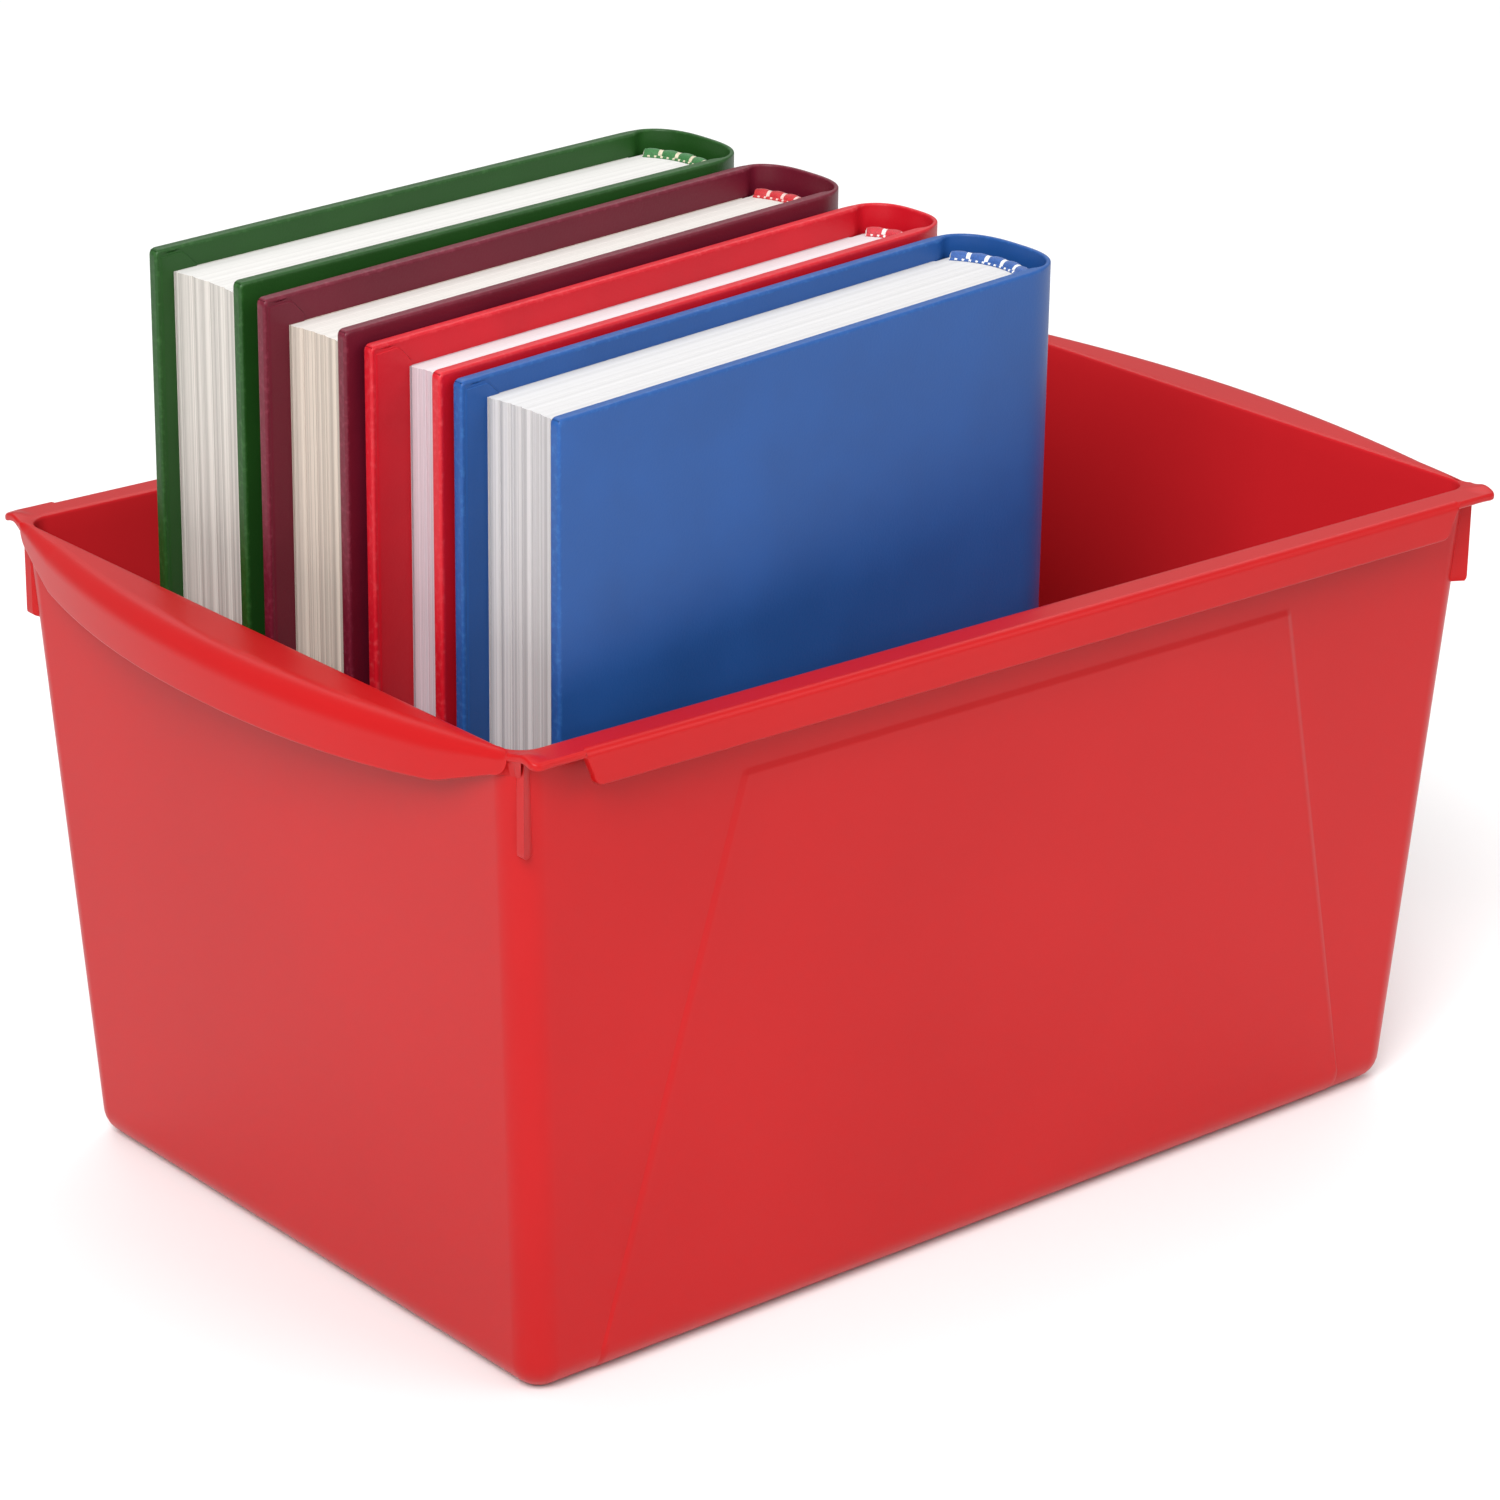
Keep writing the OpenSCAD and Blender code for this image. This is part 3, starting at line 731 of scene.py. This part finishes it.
def make_pages(book, shaded_cut_look, lit_top_look, gathering, seed):
    """Page block: leaves in slightly raised gatherings, hollow fore edge, rounded back."""
    rng = random.Random(seed)
    d0 = COVER + LEAF
    total = book.depth - 2 * d0
    groups = max(4, round(total / gathering))
    per = max(6, round(total / groups / SHEET_T))
    half = total / 2 - FORE_MARGIN
    bow = (half ** 2 + FORE_DISH ** 2) / (2 * FORE_DISH)
    verts, faces, slots = [], [], []
    for i in range(groups * per + 1):
        d = d0 + total * i / (groups * per)
        u = (i % per) / per
        swell = GATHER_SWELL * (1 - (2 * u - 1) ** 4) if i % per else 0.0
        ragged = rng.uniform(-RAGGED, RAGGED)
        off = d - book.depth / 2
        hollow = 0
        if abs(off) < half:
            hollow = math.sqrt(max(bow ** 2 - off ** 2, 0)) - (bow - FORE_DISH)
        fore = book.fore + max(hollow, 0) + GATHER_SWELL - swell + ragged
        cx, cy = book.centre
        back = book.spine_x
        for _ in range(8):
            y = book.y + book.lean * back - d
            back = cx - book.x + math.sqrt(max(book.back_r ** 2 - (y - cy) ** 2, 1))
        top = book.head - (0.0 if i % per else HEAD_GAP) + rng.uniform(-HEAD_RAGGED, 0.0)
        for x, z in ((fore, book.foot), (back, book.foot), (back, top), (fore, top)):
            verts.append((book.x + x, book.y + book.lean * x - d, book.z + z))
        if i:
            faces += bridge(4 * i - 4, 4 * i, 4)
            # Head and foot take the lit copy of the paper, fore edge and back the shaded one:
            # painted light and shade.
            slots += [1, 0, 1, 0]
    faces.append((3, 2, 1, 0))
    last = len(verts) - 4
    faces.append((last, last + 1, last + 2, last + 3))
    return mesh_object(f"{book.colour}_pages", verts, outward(verts, faces), [shaded_cut_look, lit_top_look],
                       slots + [0, 0], sharp=5)


def cord(book, z, up, radius, count, neck, pad, pale_share):
    """A wound cord along the pages' back: count fat beads, with pale thread in the necks.

    neck and pad are its radii between and at the beads; pale_share is how much of each end of a
    bead is pale, on top.
    """
    half = math.asin((book.depth / 2 - COVER - LEAF) / (book.back_r + CORD_OUT))
    verts, faces, slots = [], [], []
    steps, sides = CORD_STEPS, CORD_SIDES
    total = count * steps
    for i in range(total + 1):
        u = (i % steps) / steps
        edge = min(u, 1 - u)
        fat = neck + (pad - neck) * math.sin(math.pi * u) ** BEAD_SHAPE
        if edge < pale_share:
            fat = max(fat, neck + PALE_FAT * (pad - neck))
        if i in (0, total):
            fat = neck * 0.5
        a = -half + 2 * half * i / total
        out = Vector((math.cos(a), math.sin(a)))
        middle = Vector(book.centre) + out * radius
        for j in range(sides):
            b = 2 * math.pi * j / sides + CORD_TWIST * i / steps * math.pi
            side = middle + out * fat * math.cos(b)
            verts.append((side.x, side.y, z + (CORD_UP + fat * math.sin(b)) * up))
            if i < total:
                slots.append(1 if edge < pale_share and math.sin(b) > PALE_ABOVE else 0)
        if i:
            faces += bridge((i - 1) * sides, i * sides, sides)
    faces += [tuple(range(sides - 1, -1, -1)), tuple(range(total * sides, (total + 1) * sides))]
    return verts, outward(verts, faces), slots + [0, 0]


def make_band(book, name, z, up, wound, pale):
    """Headband: a row of fat beads, and under it on the pages' side a row of small stitches."""
    width = 2 * (book.depth / 2 - COVER)
    verts, faces, slots = cord(book, z, up, book.back_r - BEAD_IN, round(width / BEAD_PITCH),
                               neck=1.35, pad=1.95, pale_share=0.12)
    more, more_faces, more_slots = cord(book, z, up, book.back_r - STITCH_IN,
                                        round(width / STITCH_PITCH),
                                        neck=0.3, pad=0.5, pale_share=0.2)
    faces += [tuple(len(verts) + i for i in face) for face in more_faces]
    return mesh_object(name, verts + more, faces, [wound, pale], slots + more_slots, sharp=60)


# ---------------------------------------------------------------- the object

BIN_RED = (0.433, 0.0065, 0.0075)
INSIDE_PAINTED_LIGHT_RED = (0.60, 0.016, 0.022)    # the same plastic, set brighter for this light: painted light on the inner walls
# The paper is the fore edge's, set darker as painted shade; red's pink is partly a painted
# reflection of its cloth.
# The rubbed cloth colour is edge wear and painted highlight.
LOOKS = {   # cloth, rubbed and highlit cloth, paper, width of a gathering, headband, its pale thread
    "green": ((0.012, 0.064, 0.009), (0.05, 0.15, 0.04), (0.57, 0.54, 0.50), 7.0,
              (0.02, 0.15, 0.03), (0.62, 0.55, 0.40)),
    "maroon": ((0.120, 0.0055, 0.018), (0.26, 0.04, 0.07), (0.57, 0.50, 0.43), 4.0,
               (0.50, 0.008, 0.015), (0.72, 0.50, 0.46)),
    "red": ((0.50, 0.0055, 0.015), (0.62, 0.07, 0.08), (0.58, 0.49, 0.53), 5.0,
            (0.50, 0.015, 0.03), (0.75, 0.70, 0.68)),
    "blue": ((0.012, 0.072, 0.262), (0.04, 0.16, 0.42), (0.53, 0.51, 0.51), 3.7,
             (0.015, 0.085, 0.32), (0.78, 0.78, 0.78)),
}
FIRST_SEED = 40                      # of the pages' unevenness, one more for each book
TOP_WHITE = 0.6                      # how far the lit head and foot lose the fore edge's tint, red's painted pink with it
PAPER_LINE, TOP_LINE = 0.66, 0.88    # how dark the lines between leaves are, next to the paper
TOP_PAINTED_LIGHT = 1.12                     # painted light: the trimmed head and foot are painted lighter than the fore edge

shell = make_bin(plastic("bin_plastic_look", BIN_RED), plastic("bin_inside_painted_light_look", INSIDE_PAINTED_LIGHT_RED))
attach(shell, "bin")
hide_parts("bin")

board_look = fibreboard("board_look", (0.30, 0.27, 0.21), 900)
lining_look = fibreboard("lining_look", (0.66, 0.62, 0.52), 1600)

for number, colour in enumerate(BOOKS):
    book = Book(colour)
    dye, rubbed_and_highlit, sheet, gathering, wound, pale = LOOKS[colour]
    cloth_look = cloth(f"{colour}_cloth_look", dye, rubbed_and_highlit)
    across = Vector((-book.lean, 1, 0)).normalized()
    # A shaded copy of the paper for fore edge, back and endpapers, a lit one for head and foot:
    # painted shade and light.
    shaded_paper_look = paper(f"{colour}_shaded_paper_look", sheet, tinted(sheet, PAPER_LINE), across)
    trimmed = tuple(TOP_WHITE * max(sheet) + (1 - TOP_WHITE) * c for c in sheet)
    lit_top_look = paper(f"{colour}_paper_top_look", tinted(trimmed, TOP_PAINTED_LIGHT),
                     tinted(trimmed, TOP_PAINTED_LIGHT * TOP_LINE), across)
    wound_look = thread(f"{colour}_wound_look", wound)
    pale_look = thread(f"{colour}_pale_look", pale)
    body = f"{colour}_book"
    made = [
        (make_case(book, cloth_look), "_cloth", ("case_cloth", "spine_strip")),
        (make_pages(book, shaded_paper_look, lit_top_look, gathering, FIRST_SEED + number),
         "_pages", ("page_block",)),
        (make_band(book, f"{colour}_head", book.z + book.head, 1, wound_look, pale_look),
         "_band", ("headband",)),
        (make_band(book, f"{colour}_tail", book.z + book.foot, -1, wound_look, pale_look),
         "_band", ("tailband",)),
    ]
    for piece, slot, stands_for in made:
        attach(piece, body)
        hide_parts(*[f"{colour}_{part}" for part in stands_for])
    kept = {"back_board": board_look, "front_board": board_look, "spine_lining": lining_look,
            "back_endpaper": shaded_paper_look, "front_endpaper": shaded_paper_look}
    for part, look in kept.items():
        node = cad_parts[f"{colour}_{part}"]
        node.data.materials.clear()
        node.data.materials.append(look)


# ---------------------------------------------------------------- floor, light and camera

FLOOR_HALF = 3.0                     # metres


def make_floor():
    verts = [(x / MM, y / MM, 0) for x in (-FLOOR_HALF, FLOOR_HALF)
             for y in (-FLOOR_HALF, FLOOR_HALF)]
    material, nodes, links, shader = new_material("floor_look")
    coords = nodes.new("ShaderNodeTexCoord").outputs["Object"]
    tone = noise(nodes, links, coords, 3, 2)
    links.new(ramp(nodes, links, tone, [(0.0, (0.85, 0.85, 0.85)), (1.0, (0.88, 0.88, 0.88))]),
              shader.inputs["Base Color"])
    shader.inputs["Roughness"].default_value = 0.9
    shader.inputs["Specular IOR Level"].default_value = 0.1
    floor = mesh_object("floor", verts, [(0, 1, 3, 2)], [material])


def make_light(name, place, aim, size, watts):
    """A rectangular lamp at place, facing aim; both in metres."""
    data = bpy.data.lights.new(name, "AREA")
    data.shape = "RECTANGLE"
    data.size, data.size_y = size
    data.energy = watts
    lamp = bpy.data.objects.new(name, data)
    bpy.context.scene.collection.objects.link(lamp)
    lamp.location = place
    lamp.rotation_euler = (Vector(aim) - Vector(place)).to_track_quat("-Z", "Y").to_euler()


def make_camera():
    """Camera at the photograph's angle: turned right of +Y, tilted down, rolled a little."""
    turn, tilt, roll = math.radians(40.1086), math.radians(21.339), math.radians(0.792)
    forward = Vector((math.sin(turn) * math.cos(tilt), math.cos(turn) * math.cos(tilt),
                      -math.sin(tilt)))
    level = Vector((math.cos(turn), -math.sin(turn), 0))
    upright = level.cross(forward)
    right = level * math.cos(roll) + upright * math.sin(roll)
    up = upright * math.cos(roll) - level * math.sin(roll)
    data = bpy.data.cameras.new("camera")
    data.sensor_width = 36
    data.lens = 118.68
    camera = bpy.data.objects.new("camera", data)
    place = (-0.81314, -0.96301, 0.59886)
    camera.matrix_world = (Matrix.Translation(place)
                           @ Matrix((right, up, -forward)).transposed().to_4x4())
    bpy.context.scene.collection.objects.link(camera)
    bpy.context.scene.camera = camera


make_floor()
make_light("key", (-1.6, -1.05, 1.8), (0, 0, 0.1), (1.3, 1.3), 66)
make_light("fill", (0.9, -1.9, 1.3), (0, 0, 0.1), (1.6, 1.2), 16)
make_light("top", (1.0, 1.2, 2.4), (0.6, 0.7, 0), (3.0, 3.0), 46)
make_camera()

world = bpy.data.worlds.new("studio")
world.use_nodes = True
sky = world.node_tree.nodes["Background"]
sky.inputs["Color"].default_value = (1, 1, 1, 1)
sky.inputs["Strength"].default_value = 0.45
bpy.context.scene.world = world
bpy.context.scene.view_settings.view_transform = "Standard"
